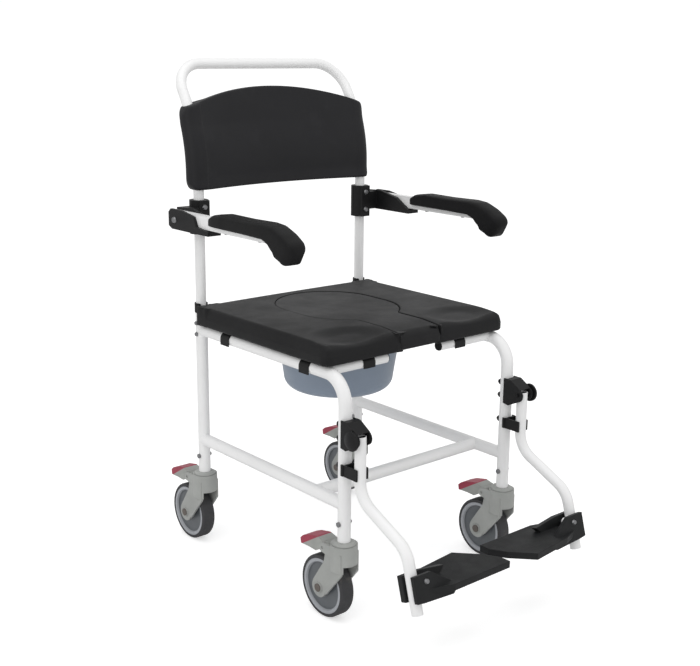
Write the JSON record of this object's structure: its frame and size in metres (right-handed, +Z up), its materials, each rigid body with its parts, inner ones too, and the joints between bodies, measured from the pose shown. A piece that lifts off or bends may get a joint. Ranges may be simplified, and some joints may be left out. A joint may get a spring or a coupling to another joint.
{
  "type": "commode chair",
  "caption": "Wheeled commode chair with padded keyhole seat, lift-out cover, sliding pan, lift-up armrests and footrests.",
  "frame": {"origin": "on the floor, below the middle of the chair's bounding box", "axes": "+Z up, -Y the way the occupant faces, +X the occupant's left; node names take left and right as seen from in front, so left is -X"},
  "size_m": [0.587, 0.823, 1.048],
  "materials": {
    "powder_coat": "smooth off-white powder coat",
    "seat_vinyl": "soft black vinyl over foam",
    "back_panel": "soft black moulded foam skin",
    "arm_foam": "matt black moulded foam",
    "black_nylon": "moulded black nylon",
    "footplate_plastic": "fine-grained black plastic",
    "pan_plastic": "blue-grey plastic",
    "zinc_steel": "zinc-plated steel",
    "caster_housing": "light grey plastic",
    "wheel_plastic": "grey rim with a dark hub",
    "tyre_rubber": "dark grey rubber",
    "pedal_plastic": "dull red plastic"
  },
  "bodies": {
    "frame": {"side_frame_left": "powder_coat", "side_frame_right": "powder_coat", "lower_crossbar": "powder_coat", "rear_crossbar": "powder_coat", "front_stubs": "powder_coat", "stub_end_caps": "black_nylon", "backrest_frame": "powder_coat", "rear_post_clips": "black_nylon", "backrest_panel": "back_panel", "backrest_bolts": "zinc_steel", "armrest_brackets": "black_nylon", "armrest_bracket_bolts": "zinc_steel", "footrest_brackets": "black_nylon", "footrest_saddles": "black_nylon", "footrest_bracket_bolts": "black_nylon", "caster_stems": "zinc_steel", "caster_stem_bolts": "zinc_steel", "swivel_bearings": "zinc_steel", "armrest_pivot_left": "zinc_steel", "armrest_pivot_right": "zinc_steel"},
    "seat": {"seat_pad": "seat_vinyl", "seat_clips": "black_nylon", "pan_rails": "powder_coat", "pan_rail_screws": "zinc_steel"},
    "cover": {"seat_cover": "seat_vinyl"},
    "pan": {"commode_pan": "pan_plastic"},
    "armrest_left": {"armrest_tube_left": "powder_coat", "armrest_pad_left": "arm_foam", "armrest_screws_left": "zinc_steel"},
    "footrest_left": {"footrest_hanger_left": "powder_coat", "footplate_bolt_left": "zinc_steel"},
    "footrest_knob_left": {"footrest_knob_left": "black_nylon"},
    "footplate_left": {"footplate_left": "footplate_plastic"},
    "armrest_right": {"armrest_tube_right": "powder_coat", "armrest_pad_right": "arm_foam", "armrest_screws_right": "zinc_steel"},
    "footrest_right": {"footrest_hanger_right": "powder_coat", "footplate_bolt_right": "zinc_steel"},
    "footrest_knob_right": {"footrest_knob_right": "black_nylon"},
    "footplate_right": {"footplate_right": "footplate_plastic"},
    "caster_swivel_fl": {"caster_fork_fl": "caster_housing", "caster_axle_fl": "zinc_steel"},
    "caster_wheel_fl": {"caster_wheel_fl": "wheel_plastic", "caster_tyre_fl": "tyre_rubber"},
    "caster_brake_fl": {"caster_brake_fl": "pedal_plastic"},
    "caster_swivel_fr": {"caster_fork_fr": "caster_housing", "caster_axle_fr": "zinc_steel"},
    "caster_wheel_fr": {"caster_wheel_fr": "wheel_plastic", "caster_tyre_fr": "tyre_rubber"},
    "caster_brake_fr": {"caster_brake_fr": "pedal_plastic"},
    "caster_swivel_rl": {"caster_fork_rl": "caster_housing", "caster_axle_rl": "zinc_steel"},
    "caster_wheel_rl": {"caster_wheel_rl": "wheel_plastic", "caster_tyre_rl": "tyre_rubber"},
    "caster_brake_rl": {"caster_brake_rl": "pedal_plastic"},
    "caster_swivel_rr": {"caster_fork_rr": "caster_housing", "caster_axle_rr": "zinc_steel"},
    "caster_wheel_rr": {"caster_wheel_rr": "wheel_plastic", "caster_tyre_rr": "tyre_rubber"},
    "caster_brake_rr": {"caster_brake_rr": "pedal_plastic"}
  },
  "joints": [
    {"name": "seat_lift", "type": "slide", "parent": "frame", "child": "seat", "axis": [0, 0, 1], "range_m": [0, 0.12]},
    {"name": "cover_lift", "type": "slide", "parent": "seat", "child": "cover", "axis": [0, 0, 1], "range_m": [0, 0.08]},
    {"name": "pan_slide", "type": "slide", "parent": "seat", "child": "pan", "axis": [0, 1, 0], "range_m": [0, 0.35]},
    {"name": "armrest_left_lift", "type": "hinge", "parent": "frame", "child": "armrest_left", "pos_m": [-0.27, 0.2925, 0.729], "axis": [-1, 0, 0], "range_deg": [0, 95]},
    {"name": "footrest_left_lift", "type": "hinge", "parent": "frame", "child": "footrest_left", "pos_m": [-0.22, -0.2185, 0.3845], "axis": [-1, 0, 0], "range_deg": [0, 80]},
    {"name": "knob_left_turn", "type": "hinge", "parent": "frame", "child": "footrest_knob_left", "pos_m": [-0.22, -0.2185, 0.3845], "axis": [1, 0, 0], "continuous": true},
    {"name": "footplate_left_fold", "type": "hinge", "parent": "footrest_left", "child": "footplate_left", "pos_m": [-0.204, -0.3615, 0.155], "axis": [0, -0.9615, 0.2747], "range_deg": [0, 85]},
    {"name": "armrest_right_lift", "type": "hinge", "parent": "frame", "child": "armrest_right", "pos_m": [0.27, 0.2925, 0.729], "axis": [-1, 0, 0], "range_deg": [0, 95]},
    {"name": "footrest_right_lift", "type": "hinge", "parent": "frame", "child": "footrest_right", "pos_m": [0.22, -0.2185, 0.3845], "axis": [-1, 0, 0], "range_deg": [0, 80]},
    {"name": "knob_right_turn", "type": "hinge", "parent": "frame", "child": "footrest_knob_right", "pos_m": [0.22, -0.2185, 0.3845], "axis": [1, 0, 0], "continuous": true},
    {"name": "footplate_right_fold", "type": "hinge", "parent": "footrest_right", "child": "footplate_right", "pos_m": [0.204, -0.3615, 0.155], "axis": [0, 0.9615, -0.2747], "range_deg": [0, 85]},
    {"name": "caster_fl_swivel", "type": "hinge", "parent": "frame", "child": "caster_swivel_fl", "pos_m": [-0.22, -0.1745, 0.15], "axis": [0, 0, 1], "continuous": true},
    {"name": "caster_fl_roll", "type": "hinge", "parent": "caster_swivel_fl", "child": "caster_wheel_fl", "pos_m": [-0.22, -0.1265, 0.0625], "axis": [1, 0, 0], "continuous": true},
    {"name": "caster_fl_brake", "type": "hinge", "parent": "caster_swivel_fl", "child": "caster_brake_fl", "pos_m": [-0.22, -0.1385, 0.15], "axis": [-1, 0, 0], "range_deg": [0, 8]},
    {"name": "caster_fr_swivel", "type": "hinge", "parent": "frame", "child": "caster_swivel_fr", "pos_m": [0.22, -0.1745, 0.15], "axis": [0, 0, 1], "continuous": true},
    {"name": "caster_fr_roll", "type": "hinge", "parent": "caster_swivel_fr", "child": "caster_wheel_fr", "pos_m": [0.22, -0.1265, 0.0625], "axis": [1, 0, 0], "continuous": true},
    {"name": "caster_fr_brake", "type": "hinge", "parent": "caster_swivel_fr", "child": "caster_brake_fr", "pos_m": [0.22, -0.1385, 0.15], "axis": [-1, 0, 0], "range_deg": [0, 8]},
    {"name": "caster_rl_swivel", "type": "hinge", "parent": "frame", "child": "caster_swivel_rl", "pos_m": [-0.22, 0.2995, 0.15], "axis": [0, 0, 1], "continuous": true},
    {"name": "caster_rl_roll", "type": "hinge", "parent": "caster_swivel_rl", "child": "caster_wheel_rl", "pos_m": [-0.22, 0.3475, 0.0625], "axis": [1, 0, 0], "continuous": true},
    {"name": "caster_rl_brake", "type": "hinge", "parent": "caster_swivel_rl", "child": "caster_brake_rl", "pos_m": [-0.22, 0.3355, 0.15], "axis": [-1, 0, 0], "range_deg": [0, 8]},
    {"name": "caster_rr_swivel", "type": "hinge", "parent": "frame", "child": "caster_swivel_rr", "pos_m": [0.22, 0.2995, 0.15], "axis": [0, 0, 1], "continuous": true},
    {"name": "caster_rr_roll", "type": "hinge", "parent": "caster_swivel_rr", "child": "caster_wheel_rr", "pos_m": [0.22, 0.3475, 0.0625], "axis": [1, 0, 0], "continuous": true},
    {"name": "caster_rr_brake", "type": "hinge", "parent": "caster_swivel_rr", "child": "caster_brake_rr", "pos_m": [0.22, 0.3355, 0.15], "axis": [-1, 0, 0], "range_deg": [0, 8]}
  ]
}
